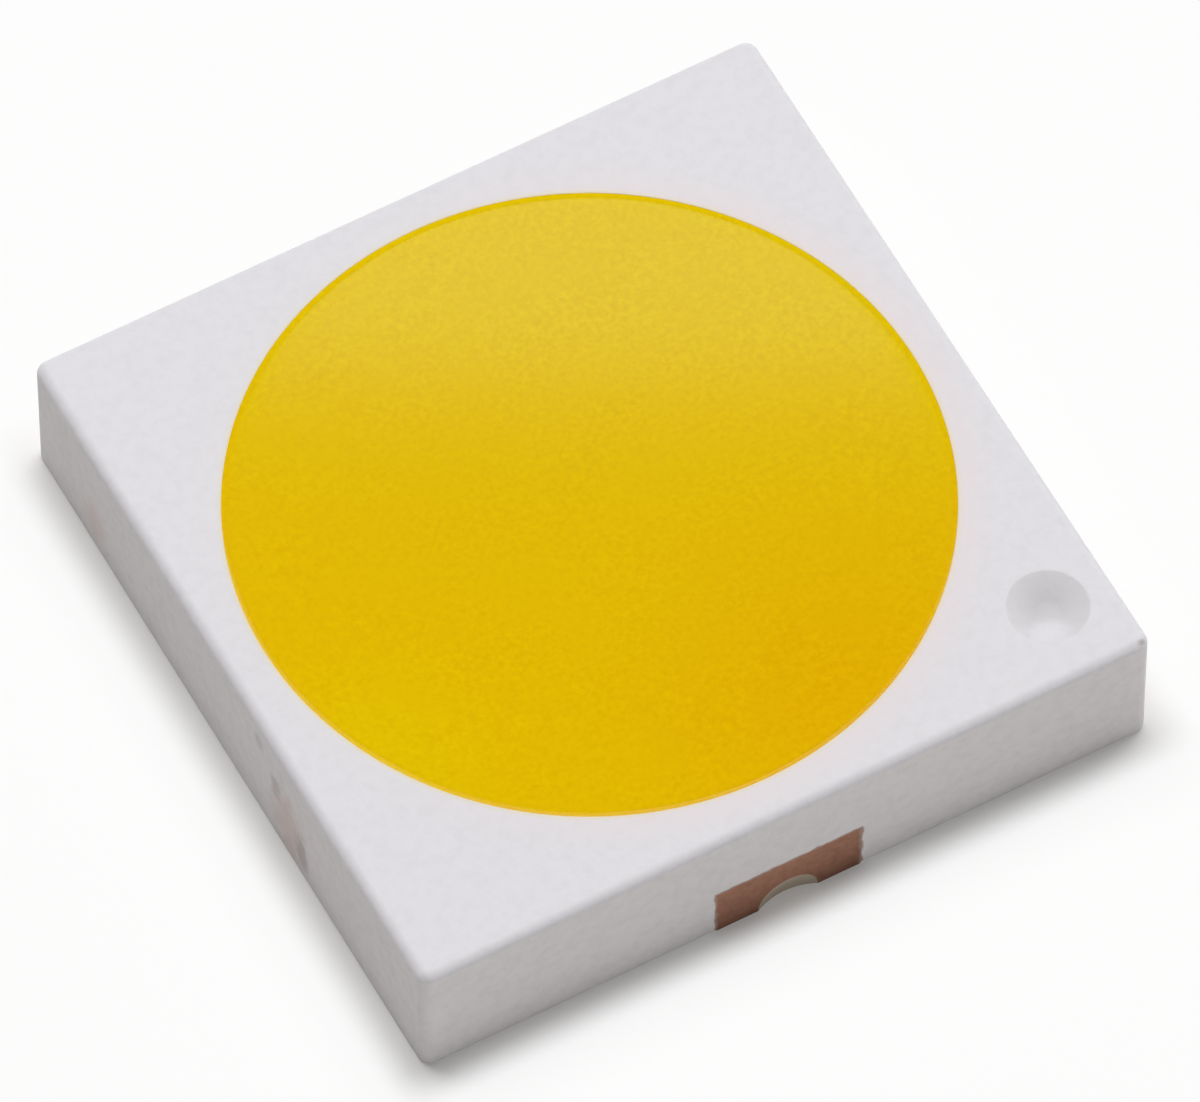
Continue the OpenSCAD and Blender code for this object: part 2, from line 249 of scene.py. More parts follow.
@dataclass(frozen=True)
class WhiteCompound:
    """White epoxy moulding compound, transfer moulded: matt and nearly even, a little greyer where it is sawn."""

    body: str = "#E2E0E4"
    mottled: str = "#DDDBDF"
    sawn: str = "#DAD6D6"
    sawn_mottled: str = "#D1CECE"
    roughness: float = 0.62
    ior: float = 1.5
    mottle: Grain = Grain(0.045, 3.0, 0.6)
    mottle_span: Pair = (0.42, 0.75)
    # Silica filler is 5 to 50 um across; its grain is drawn at the coarse end so that it shows
    grain: Grain = Grain(0.028, 2.0, 0.55)
    grain_height_mm: float = 0.0011
    # A tint painted on the top face round the window, most at one side, is painted bounce light from the yellow
    # fill; the fill also stains the window's edge
    window_r_mm: float = 1.34
    fill_glow_painted: str = "#E8DDDE"
    halo_mm: float = 0.16
    halo_share: float = 0.75
    halo_toward: Triple = (0.877, -0.480, 0.0)
    halo_span_mm: Pair = (-0.9, 0.6)
    halo_least: float = 0.15
    bleed: str = "#E8DAAA"
    bleed_mm: float = 0.022
    bleed_share: float = 0.45
    # Where the top face's rounding and the sawn sides begin
    top_mm: float = 0.56
    top_fade_mm: float = 0.02
    side_mm: float = 1.445
    sawn_at_mm: float = 1.4985
    # The saw draws a thin film of copper over the compound round each tab, in small steps
    drawn: str = "#8F6858"
    drawn_share: float = 0.85
    drawn_mm: Pair = (0.0026, 0.013)
    drawn_edge_mm: Pair = (0.003, -0.006)
    drawn_steps: Grain = Grain(0.05, 1.0)
    drawn_span: Pair = (0.35, 0.7)
    tab_width_mm: float = 0.60
    tab_height_mm: float = 0.25
    # Painted shade in the dimple: greyer the deeper it is, but for a spot nearest the corner that is left as lit
    dimple_painted_shade: str = "#BFBDBE"
    pin_middle: Triple = (1.24, -1.19, 0.6)
    pin_reach_mm: float = 0.155
    dimple_shade_skin_mm: float = 0.001
    dimple_shade_depth_mm: float = 0.045
    dimple_shade_shares: Pair = (0.22, 0.5)
    dimple_lit_spot: Triple = (1.198, -1.290, 0.58)
    dimple_lit_spot_mm: Pair = (0.045, 0.105)
    # Faint pinkish patches and specks on the left side, and a small nick at a corner
    marks: Tuple[Mark, ...] = (
        Mark((-1.5, -0.47, 0.20), (0.08, 0.18, 0.28), "#C4A79F", 0.5),
        Mark((-1.5, -0.575, 0.14), (0.05, 0.065, 0.14), "#857777", 0.45),
        Mark((-1.5, -0.375, 0.34), (0.05, 0.055, 0.08), "#A0949A", 0.42),
        Mark((-1.5, -0.25, 0.47), (0.05, 0.05, 0.07), "#A79CA0", 0.35),
        Mark((-1.5, 1.03, 0.17), (0.05, 0.11, 0.17), "#CFB4AE", 0.4),
        Mark((1.46, -1.478, 0.585), (0.03, 0.02, 0.02), "#8C6E6A", 0.55),
    )

    def round_window(self, on: Ground, colour: Any) -> bpy.types.Node:
        """Paints the yellow fill's bounce light as a tint on the top face round the window, and lays the fill's
        stain at its edge.

        Args:
            on: The material under way.
            colour: The colour beneath.

        Returns:
            The node of the new colour.
        """
        tree = on.tree
        height = on.split()[-1]
        reach = on.radius()
        top = add_node(tree, Kind.MATH, [height, *metres(self.top_mm)], operation="GREATER_THAN")
        toward = add_node(tree, Kind.VECTOR_MATH, [on.place, self.halo_toward], operation="DOT_PRODUCT")
        side = add_node(tree, Kind.MAP_RANGE, [toward, *metres(*self.halo_span_mm), self.halo_least])
        # The first tint is painted bounce light from the fill, the second the fill's stain at the window's edge
        for tint, width, share, where in (
            (self.fill_glow_painted, self.halo_mm, self.halo_share, side),
            (self.bleed, self.bleed_mm, self.bleed_share, top),
        ):
            span = (*metres(self.window_r_mm + width, self.window_r_mm), 0.0, share)
            near = add_node(tree, Kind.MAP_RANGE, [reach, *span], interpolation_type="SMOOTHSTEP")
            for part in (where, top):
                near = add_node(tree, Kind.MATH, [near, part], operation="MULTIPLY")
            colour = add_node(tree, Kind.MIX, {0: near, 6: colour, 7: tint}, data_type="RGBA")
        return colour

    def in_dimple(self, on: Ground, colour: Any) -> bpy.types.Node:
        """Paints shade into the dimple, greyer with depth, but not on a spot nearest the corner.

        Args:
            on: The material under way.
            colour: The colour beneath.

        Returns:
            The node of the new colour.
        """
        tree = on.tree
        height = on.split()[-1]
        rim = self.pin_middle[2]
        away = add_node(tree, Kind.VECTOR_MATH, [on.place, metres(*self.pin_middle)], operation="DISTANCE")
        near = add_node(tree, Kind.MATH, [away, *metres(self.pin_reach_mm)], operation="LESS_THAN")
        sunk = add_node(tree, Kind.MATH, [height, *metres(rim - self.dimple_shade_skin_mm)], operation="LESS_THAN")
        deep = add_node(tree, Kind.MAP_RANGE, [height, *metres(rim, rim - self.dimple_shade_depth_mm), *self.dimple_shade_shares])
        spot = add_node(tree, Kind.VECTOR_MATH, [on.place, metres(*self.dimple_lit_spot)], operation="DISTANCE")
        span = metres(*self.dimple_lit_spot_mm)
        share = add_node(tree, Kind.MAP_RANGE, [spot, *span], interpolation_type="SMOOTHSTEP")
        for part in (near, sunk, deep):
            share = add_node(tree, Kind.MATH, [share, part], operation="MULTIPLY")
        # Painted shade: the grey stands in for the shade on the dimple's walls
        return add_node(tree, Kind.MIX, {0: share, 6: colour, 7: self.dimple_painted_shade}, data_type="RGBA")

    def round_tab(self, on: Ground, colour: Any) -> bpy.types.Node:
        """Draws the copper film over the sawn ends close round the tabs.

        Args:
            on: The material under way.
            colour: The colour beneath.

        Returns:
            The node of the new colour.
        """
        tree = on.tree
        _, across, out, height = on.split()
        aside = add_node(tree, Kind.MATH, [across, *metres(self.tab_width_mm / 2)], operation="SUBTRACT")
        above = add_node(tree, Kind.MATH, [height, *metres(self.tab_height_mm)], operation="SUBTRACT")
        away = add_node(tree, Kind.MATH, [aside, above], operation="MAXIMUM")
        steps = add_node(tree, Kind.NOISE, self.drawn_steps.inputs(on.place))
        drawn = add_node(tree, Kind.MAP_RANGE, [steps, *self.drawn_span, *metres(*self.drawn_mm)])
        past = add_node(tree, Kind.MATH, [away, drawn], operation="SUBTRACT")
        span = (*metres(*self.drawn_edge_mm), 0.0, self.drawn_share)
        film = add_node(tree, Kind.MAP_RANGE, [past, *span], interpolation_type="SMOOTHSTEP")
        end = add_node(tree, Kind.MATH, [out, *metres(self.sawn_at_mm)], operation="GREATER_THAN")
        film = add_node(tree, Kind.MATH, [film, end], operation="MULTIPLY")
        return add_node(tree, Kind.MIX, {0: film, 6: colour, 7: self.drawn}, data_type="RGBA")

    def material(self) -> bpy.types.Material:
        """Builds the material.

        Returns:
            The node material.
        """
        # Filler grains and a faint mottle are what tell this compound from smooth plastic
        on = start_material("white_epoxy_compound_moulded")
        tree = on.tree
        _, across, out, height = on.split()
        mottle = add_node(tree, Kind.NOISE, self.mottle.inputs(on.place))
        patchy = add_node(tree, Kind.MAP_RANGE, [mottle, *self.mottle_span])
        moulded = add_node(tree, Kind.MIX, {0: patchy, 6: self.body, 7: self.mottled}, data_type="RGBA")
        moulded = self.round_window(on, moulded)
        sawn = add_node(tree, Kind.MIX, {0: patchy, 6: self.sawn, 7: self.sawn_mottled}, data_type="RGBA")
        furthest = add_node(tree, Kind.MATH, [across, out], operation="MAXIMUM")
        outside = add_node(tree, Kind.MATH, [furthest, *metres(self.side_mm)], operation="GREATER_THAN")
        below = add_node(tree, Kind.MAP_RANGE, [height, *metres(self.top_mm + self.top_fade_mm, self.top_mm)])
        side = add_node(tree, Kind.MATH, [outside, below], operation="MULTIPLY")
        colour = add_node(tree, Kind.MIX, {0: side, 6: moulded, 7: sawn}, data_type="RGBA")
        colour = self.in_dimple(on, self.round_tab(on, colour))
        for mark in self.marks:
            colour = mark.laid_over(on, colour)
        grain = add_node(tree, Kind.NOISE, self.grain.inputs(on.place))
        relief = {"Height": grain, "Strength": 1.0, "Distance": self.grain_height_mm * MM}
        bump = add_node(tree, Kind.BUMP, relief)
        return on.close({"Base Color": colour, "Roughness": self.roughness, "IOR": self.ior, "Normal": bump})


@dataclass(frozen=True)
class PhosphorSilicone:
    """Silicone filled with yellow phosphor powder, poured and cured: deep opaque yellow under a glossy skin."""

    body: str = "#E7C602"
    pale: str = "#EDD004"
    deep: str = "#E0BA00"
    roughness: float = 0.085
    ior: float = 1.41
    specular: float = 0.085
    # Phosphor grains are 10 to 25 um across
    grain: Grain = Grain(0.024, 2.0, 0.6)
    grain_span: Pair = (0.3, 0.7)
    grain_height_mm: float = 0.00006
    cloud: Grain = Grain(0.22)
    # Painted sheen: the yellow is paler toward the far side and deeper toward the near side. Powder settling at
    # the near side makes it nearer orange, most at its right
    even: str = WHITE
    near_side_unsheened: str = "#FFF3FF"
    ahead: Triple = (0.480, 0.877, 0.0)
    sheen_fade_mm: Pair = (0.85, -0.15)
    zones: Tuple[Mark, ...] = (
        Mark((-1.21, -0.61, 0.6), (0.65, 0.65, 0.65), "#FFFBFF", 0.9, ragged=0.0, core=0.0),
        Mark((0.44, -1.17, 0.6), (1.15, 1.15, 1.15), "#FFE8FF", 1.0, ragged=0.0, core=0.0),
    )
    # Painted shade: where the skin wets the wall the yellow is a little deeper in colour, standing for the sheen
    # missing there
    rim: str = "#FFFCD2"
    rim_shade_mm: Pair = (1.305, 1.325)

    def sheen_and_settling_tint(self, on: Ground) -> bpy.types.Node:
        """The node of the tint: painted sheen toward the far side, powder settling in its zones, and painted
        shade at the rim.
        """
        tree = on.tree
        along = add_node(tree, Kind.VECTOR_MATH, [on.place, self.ahead], operation="DOT_PRODUCT")
        near = add_node(
            tree, Kind.MAP_RANGE, [along, *metres(*self.sheen_fade_mm)], interpolation_type="SMOOTHSTEP"
        )
        # Painted sheen: paler toward the far side, deeper toward the near side
        tint = add_node(tree, Kind.MIX, {0: near, 6: self.even, 7: self.near_side_unsheened}, data_type="RGBA")
        for zone in self.zones:
            tint = zone.laid_over(on, tint)
        # Painted shade at the rim: the yellow deepens just inside the wall
        wall = add_node(
            tree, Kind.MAP_RANGE, [on.radius(), *metres(*self.rim_shade_mm)], interpolation_type="SMOOTHSTEP"
        )
        return add_node(
            tree, Kind.MIX, {0: wall, 6: tint, 7: self.rim}, data_type="RGBA", blend_type="MULTIPLY"
        )

    def material(self) -> bpy.types.Material:
        """Builds the material.

        Returns:
            The node material.
        """
        # The powder's grains speckle the yellow from within, under a skin that mirrors softly
        on = start_material("phosphor_silicone_cured")
        tree = on.tree
        grain = add_node(tree, Kind.NOISE, self.grain.inputs(on.place))
        specks = add_node(tree, Kind.MAP_RANGE, [grain, *self.grain_span])
        speckled = add_node(tree, Kind.MIX, {0: specks, 6: self.deep, 7: self.pale}, data_type="RGBA")
        cloud = add_node(tree, Kind.NOISE, self.cloud.inputs(on.place))
        yellow = add_node(tree, Kind.MIX, {0: cloud, 6: speckled, 7: self.body}, data_type="RGBA")
        mixed = {0: 1.0, 6: yellow, 7: self.sheen_and_settling_tint(on)}
        colour = add_node(tree, Kind.MIX, mixed, data_type="RGBA", blend_type="MULTIPLY")
        relief = {"Height": grain, "Strength": 1.0, "Distance": self.grain_height_mm * MM}
        bump = add_node(tree, Kind.BUMP, relief)
        return on.close(
            {
                "Base Color": colour,
                "Roughness": self.roughness,
                "IOR": self.ior,
                "Specular IOR Level": self.specular,
                "Normal": bump,
            }
        )


@dataclass(frozen=True)
class PlatedLead:
    """Copper strip, silver plated: satin silver all over but for the ends, which the saw leaves bare and dull."""

    silver: str = "#DEDBD4"
    tarnish: str = "#CAC4B9"
    scoop: str = "#B1A392"
    copper: str = "#AD806A"
    copper_dark: str = "#825D4B"
    smeared: str = "#A08A80"
    roughness: float = 0.38
    sawn_roughness: float = 0.7
    sawn_at_mm: float = 1.4985
    # The scoop is part of a sphere, by its middle beyond the tab's end and its radius
    scoop_middle: Triple = (0.0, 1.7454, 0.0)
    scoop_radius_mm: float = 0.2754
    scoop_play_mm: float = 0.0012
    scoop_dull: float = 0.5
    tab_width_mm: float = 0.60
    tab_height_mm: float = 0.25
    # Rolling lines in the strip are a few um apart; drawn coarser so that they show
    rolled: Grain = Grain(0.03, 3.0, 0.6)
    rolled_stretch: Triple = (1.0, 0.12, 1.0)
    rolled_height_mm: float = 0.0006
    # The sawn copper is stained, and darker at the foot
    smear: Grain = Grain(0.035, 3.0, 0.65)
    foot_shift: Pair = (-0.25, 0.35)
    # The saw drags compound over the copper's edge in small steps
    ragged: Grain = Grain(0.06, 1.0)
    ragged_span: Pair = (0.35, 0.65)
    ragged_depth_mm: float = 0.008
    ragged_edge_mm: Pair = (-0.010, 0.006)
    ragged_share: float = 0.7

    def dragged(self, on: Ground) -> bpy.types.Node:
        """The node of the share of compound that the saw has dragged over the copper."""
        tree = on.tree
        _, across, _, height = on.split()
        aside = add_node(tree, Kind.MATH, [*metres(self.tab_width_mm / 2), across], operation="SUBTRACT")
        below = add_node(tree, Kind.MATH, [*metres(self.tab_height_mm), height], operation="SUBTRACT")
        inside = add_node(tree, Kind.MATH, [aside, below], operation="MINIMUM")
        steps = add_node(tree, Kind.NOISE, self.ragged.inputs(on.place))
        span = (*self.ragged_span, 0.0, self.ragged_depth_mm * MM)
        worn = add_node(tree, Kind.MAP_RANGE, [steps, *span])
        past = add_node(tree, Kind.MATH, [worn, inside], operation="SUBTRACT")
        span = (*metres(*self.ragged_edge_mm), 0.0, self.ragged_share)
        return add_node(tree, Kind.MAP_RANGE, [past, *span], interpolation_type="SMOOTHSTEP")

    def material(self) -> bpy.types.Material:
        """Builds the material.

        Returns:
            The node material.
        """
        # Satin plating with faint rolling lines, and matt copper where the strip was cut through
        on = start_material("silver_plated_copper_strip")
        tree = on.tree
        folded, _, out, height = on.split()
        sawn = add_node(tree, Kind.MATH, [out, *metres(self.sawn_at_mm)], operation="GREATER_THAN")
        uncut = add_node(tree, Kind.MATH, [1.0, sawn], operation="SUBTRACT")
        beyond = add_node(tree, Kind.VECTOR_MATH, [folded, metres(*self.scoop_middle)], operation="DISTANCE")
        reach = (self.scoop_radius_mm + self.scoop_play_mm) * MM
        scooped = add_node(tree, Kind.MATH, [beyond, reach], operation="LESS_THAN")

        stretch = add_node(tree, Kind.MAPPING, {"Vector": on.place, "Scale": self.rolled_stretch})
        rolled = add_node(tree, Kind.NOISE, self.rolled.inputs(stretch))
        plating = add_node(tree, Kind.MIX, {0: rolled, 6: self.silver, 7: self.tarnish}, data_type="RGBA")
        plating = add_node(tree, Kind.MIX, {0: scooped, 6: plating, 7: self.scoop}, data_type="RGBA")

        foot = add_node(tree, Kind.MAP_RANGE, [height, *metres(self.tab_height_mm, 0.0), *self.foot_shift])
        smear = add_node(tree, Kind.NOISE, self.smear.inputs(on.place))
        stained = add_node(tree, Kind.MATH, [smear, foot], operation="ADD", use_clamp=True)
        bare = add_node(tree, Kind.MIX, {0: stained, 6: self.copper, 7: self.copper_dark}, data_type="RGBA")
        film = self.dragged(on)
        end = add_node(tree, Kind.MIX, {0: film, 6: bare, 7: self.smeared}, data_type="RGBA")
        colour = add_node(tree, Kind.MIX, {0: sawn, 6: plating, 7: end}, data_type="RGBA")

        matt = add_node(tree, Kind.MATH, [sawn, scooped], operation="MAXIMUM")
        rough = add_node(tree, Kind.MAP_RANGE, [matt, 0.0, 1.0, self.roughness, self.sawn_roughness])
        # Where compound or etching stain lies on it, the metal shows less
        smeared = add_node(tree, Kind.MATH, [film, sawn], operation="MULTIPLY")
        etched = add_node(tree, Kind.MATH, [scooped, self.scoop_dull], operation="MULTIPLY")
        dull = add_node(tree, Kind.MATH, [smeared, etched], operation="MAXIMUM")
        metal = add_node(tree, Kind.MATH, [1.0, dull], operation="SUBTRACT", use_clamp=True)
        lines = add_node(tree, Kind.MATH, [rolled, uncut], operation="MULTIPLY")
        relief = {"Height": lines, "Strength": 1.0, "Distance": self.rolled_height_mm * MM}
        bump = add_node(tree, Kind.BUMP, relief)
        return on.close({"Base Color": colour, "Metallic": metal, "Roughness": rough, "Normal": bump})


@dataclass(frozen=True)
class InnerFinish:
    """The finish of a piece sealed in the fill: a base colour with a fine grain of its own."""

    name: str
    body: str
    grained: str
    grain_mm: float
    metallic: float
    roughness: float

    def material(self) -> bpy.types.Material:
        """Builds the material.

        Returns:
            The node material.
        """
        on = start_material(self.name)
        grain = add_node(on.tree, Kind.NOISE, Grain(self.grain_mm).inputs(on.place))
        colour = add_node(on.tree, Kind.MIX, {0: grain, 6: self.body, 7: self.grained}, data_type="RGBA")
        return on.close({"Base Color": colour, "Metallic": self.metallic, "Roughness": self.roughness})


# Sapphire, diced by laser: pale and clear blue, smooth. Gold, sputtered or drawn: warm and bright. Silicon,
# sawn: dark grey. Clear and silver-filled adhesives, dispensed and cured: ivory, and grey with flakes.
INNER_FINISHES: Dict[Slot, InnerFinish] = {
    Slot.DIE: InnerFinish("sapphire_laser_diced", "#B7D3E8", "#A9C6DE", 0.05, 0.0, 0.12),
    Slot.GOLD: InnerFinish("gold_drawn_and_sputtered", "#E7C069", "#DDB355", 0.02, 1.0, 0.25),
    Slot.SILICON: InnerFinish("silicon_sawn", "#5A5D63", "#4D5056", 0.02, 0.0, 0.35),
    Slot.DIE_GLUE: InnerFinish("silicone_adhesive_cured", "#E9E4D4", "#DDD7C4", 0.03, 0.0, 0.3),
    Slot.SILVER_GLUE: InnerFinish("silver_filled_adhesive_cured", "#B8B8B6", "#9C9C9A", 0.015, 0.8, 0.45),
}


# ---------------------------------------------------------------- modelling by operators


def only(piece: bpy.types.Object) -> bpy.types.Object:
    """Leaves object mode and makes piece the only selected and active object."""
    if bpy.context.object and bpy.context.object.mode != "OBJECT":
        bpy.ops.object.mode_set(mode="OBJECT")
    bpy.ops.object.select_all(action="DESELECT")
    piece.select_set(True)
    bpy.context.view_layer.objects.active = piece
    return piece


def added(name: str) -> bpy.types.Object:
    """Names the primitive that was added last and applies its place.

    Args:
        name: The piece's name.

    Returns:
        The new object, in object mode.
    """
    piece = bpy.context.object
    piece.name = name
    piece.data.name = name
    bpy.ops.object.transform_apply(location=True, rotation=True, scale=True)
    return piece


def block(name: str, size: Triple, low: Triple) -> bpy.types.Object:
    """Adds a box by its size and lowest corner.

    Args:
        name: The piece's name.
        size: Width, length and height.
        low: The corner with the lowest X, Y and Z.

    Returns:
        The box.
    """
    bpy.ops.object.select_all(action="DESELECT")
    middle = [a + s / 2 for a, s in zip(low, size)]
    bpy.ops.mesh.primitive_cube_add(size=1, location=middle)
    bpy.context.object.scale = size
    return added(name)


def open_edit(piece: bpy.types.Object, mode: str) -> None:
    """Opens a piece in edit mode with nothing selected, in the VERT, EDGE or FACE mode."""
    only(piece)
    bpy.ops.object.mode_set(mode="EDIT")
    bpy.ops.mesh.select_mode(type=mode)
    bpy.ops.mesh.select_all(action="DESELECT")
    bpy.ops.object.mode_set(mode="OBJECT")


def pick_edges(piece: bpy.types.Object, test: Test) -> int:
    """Selects the edges whose two ends pass a test, and leaves the piece in edit mode.

    Args:
        piece: The object.
        test: Takes the two end points and says whether the edge is wanted.

    Returns:
        How many edges are selected.
    """
    open_edit(piece, "EDGE")
    count = 0
    points = piece.data.vertices
    for edge in piece.data.edges:
        edge.select = test(points[edge.vertices[0]].co, points[edge.vertices[1]].co)
        count += edge.select
    bpy.ops.object.mode_set(mode="EDIT")
    return count


def round_edges(piece: bpy.types.Object, test: Test, radius: float, segments: int) -> None:
    """Rounds the edges whose two ends pass a test.

    Args:
        piece: The object.
        test: Takes the two end points of an edge.
        radius: The rounding, in millimetres.
        segments: Facets across it.
    """
    if pick_edges(piece, test):
        bpy.ops.mesh.bevel(offset=radius, segments=segments, profile=0.5, affect="EDGES")
    bpy.ops.object.mode_set(mode="OBJECT")


def combine(piece: bpy.types.Object, other: bpy.types.Object, how: str) -> bpy.types.Object:
    """Cuts or joins another mesh with a piece, by an applied modifier.

    Args:
        piece: The object that changes.
        other: The cutter or the mesh to join, which goes.
        how: DIFFERENCE or UNION.

    Returns:
        The piece.
    """
    only(piece)
    modifier = piece.modifiers.new(how.lower(), "BOOLEAN")
    modifier.operation = how
    modifier.solver = "EXACT"
    modifier.object = other
    bpy.ops.object.modifier_apply(modifier=modifier.name)
    bpy.data.objects.remove(other)
    return piece


def upright(a: Vector, b: Vector) -> bool:
    """Whether an edge stands along Z."""
    return abs(a.x - b.x) < LEVEL and abs(a.y - b.y) < LEVEL


def finish_mesh(piece: bpy.types.Object) -> bpy.types.Object:
    """Cleans a piece, gives it weighted smooth normals and brings it from millimetres to metres.

    Args:
        piece: The finished shape in millimetres.

    Returns:
        The piece, at the origin with its place in its mesh.
    """
    open_edit(piece, "VERT")
    bpy.ops.object.mode_set(mode="EDIT")
    bpy.ops.mesh.select_all(action="SELECT")
    bpy.ops.mesh.remove_doubles(threshold=MERGED)
    bpy.ops.mesh.dissolve_degenerate(threshold=MERGED)
    bpy.ops.mesh.normals_make_consistent(inside=False)
    bpy.ops.object.mode_set(mode="OBJECT")
    bpy.ops.object.shade_smooth_by_angle(angle=math.radians(SHARP_DEG))
    weigh = piece.modifiers.new("weighted_normals", "WEIGHTED_NORMAL")
    weigh.keep_sharp = True
    weigh.weight = NORMAL_WEIGHT
    bpy.ops.object.modifier_apply(modifier=weigh.name)
    piece.scale = (MM, MM, MM)
    bpy.ops.object.transform_apply(location=True, rotation=True, scale=True)
    return piece


def dress(piece: bpy.types.Object, material: bpy.types.Material) -> None:
    """Makes a material the piece's only one."""
    piece.data.materials.clear()
    piece.data.materials.append(material)


def seat(piece: bpy.types.Object, nodes: Sequence[str]) -> None:
    """Puts a finished piece on the body and in place of its CAD nodes.

    Args:
        piece: The finished piece.
        nodes: The CAD nodes that it stands for.
    """
    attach(piece, ROOT_BODY)
    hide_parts(*nodes)
    LOG.info("%s: %d faces", piece.name, len(piece.data.polygons))


# ---------------------------------------------------------------- the leads


@dataclass
class Lead:
    """One half-etched copper lead: solder pad, thinner flange with lock scallops, and a tab to the end face."""

    name: str
    node: str
    end: End
    pad_length: float
    pad_middle: float
    body_length: float = 3.0
    thickness: float = 0.25
    etch_depth: float = 0.12
    pad_width: float = 2.30
    pad_corner: float = 0.08
    pad_facets: int = 8
    flange: float = 0.10
    flange_facets: int = 10
    scallop_radius: float = 0.045
    scallop_pitch: float = 0.30
    scallop_facets: int = 32
    tab_width: float = 0.60
    notch_radius: float = 0.125
    notch_depth: float = 0.03
    notch_facets: Tuple[int, int] = (128, 96)
    seam: float = 0.006
    seam_facets: int = 2
    piece: Optional[bpy.types.Object] = field(default=None, init=False)

    def blank(self, name: str) -> bpy.types.Object:
        """Models the lead before its notch is etched.

        Args:
            name: The object's name.

        Returns:
            The closed blank in millimetres.
        """
        low_y = self.pad_middle - self.pad_length / 2
        pad = block(name, (self.pad_width, self.pad_length, self.thickness), (-self.pad_width / 2, low_y, 0))
        round_edges(pad, upright, self.pad_corner, self.pad_facets)
        wide = self.pad_width + 2 * self.flange
        long = self.pad_length + 2 * self.flange
        thin = self.thickness - self.etch_depth
        flange = block("flange", (wide, long, thin), (-wide / 2, low_y - self.flange, self.etch_depth))
        round_edges(flange, upright, self.pad_corner + self.flange, self.flange_facets)
        count = math.floor(self.pad_length / self.scallop_pitch)
        for side in (-1, 1):
            for i in range(count):
                along = self.pad_middle + (i - (count - 1) / 2) * self.scallop_pitch
                bpy.ops.object.select_all(action="DESELECT")
                bpy.ops.mesh.primitive_cylinder_add(
                    vertices=self.scallop_facets,
                    radius=self.scallop_radius,
                    depth=self.thickness * 2,
                    location=(side * wide / 2, along, self.thickness),
                )
                combine(flange, added("scallop_cutter"), "DIFFERENCE")
        combine(pad, flange, "UNION")
        tab_length = self.body_length / 2 - abs(self.pad_middle) - self.pad_length / 2
        low = -self.body_length / 2
        if self.end is End.ANODE:
            low = self.body_length / 2 - tab_length - self.pad_corner
        size = (self.tab_width, tab_length + self.pad_corner, self.thickness)
        return combine(pad, block("tab", size, (-self.tab_width / 2, low, 0)), "UNION")

    def notch(self) -> bpy.types.Object:
        """Models the cutter of the shallow scoop that is etched under the tab and opened by the saw.

        Returns:
            The cutter in millimetres.
        """
        radius = (self.notch_radius**2 + self.notch_depth**2) / (2 * self.notch_depth)
        away = self.body_length / 2 - self.notch_depth + radius
        segments, rings = self.notch_facets
        bpy.ops.object.select_all(action="DESELECT")
        bpy.ops.mesh.primitive_uv_sphere_add(
            segments=segments,
            ring_count=rings,
            radius=radius,
            location=(0, self.end.value * away, 0),
            rotation=(math.pi / 2, 0, 0),
        )
        return added("notch_cutter")

    def build(self) -> None:
        """Models the lead, with the etched outline of its underside softened as plating leaves it."""
        self.piece = combine(self.blank(self.name), self.notch(), "DIFFERENCE")
        round_edges(self.piece, self.on_seam, self.seam, self.seam_facets)
        finish_mesh(self.piece)

    def on_seam(self, a: Vector, b: Vector) -> bool:
        """Whether an edge is on the underside's outline, but for the sawn end and the scoop's rim."""
        sawn = self.body_length / 2 - LEVEL
        outline = max(a.z, b.z) < LEVEL and min(abs(a.y), abs(b.y)) < sawn
        near = self.body_length / 2 - self.notch_depth - NEAR
        notch = min(abs(a.y), abs(b.y)) > near and max(abs(a.x), abs(b.x)) < self.notch_radius + NEAR
        return outline and not notch

    def dress(self, material: bpy.types.Material) -> None:
        """Plates the lead and seats it."""
        dress(self.piece, material)
        seat(self.piece, [self.node])


# ---------------------------------------------------------------- the housing


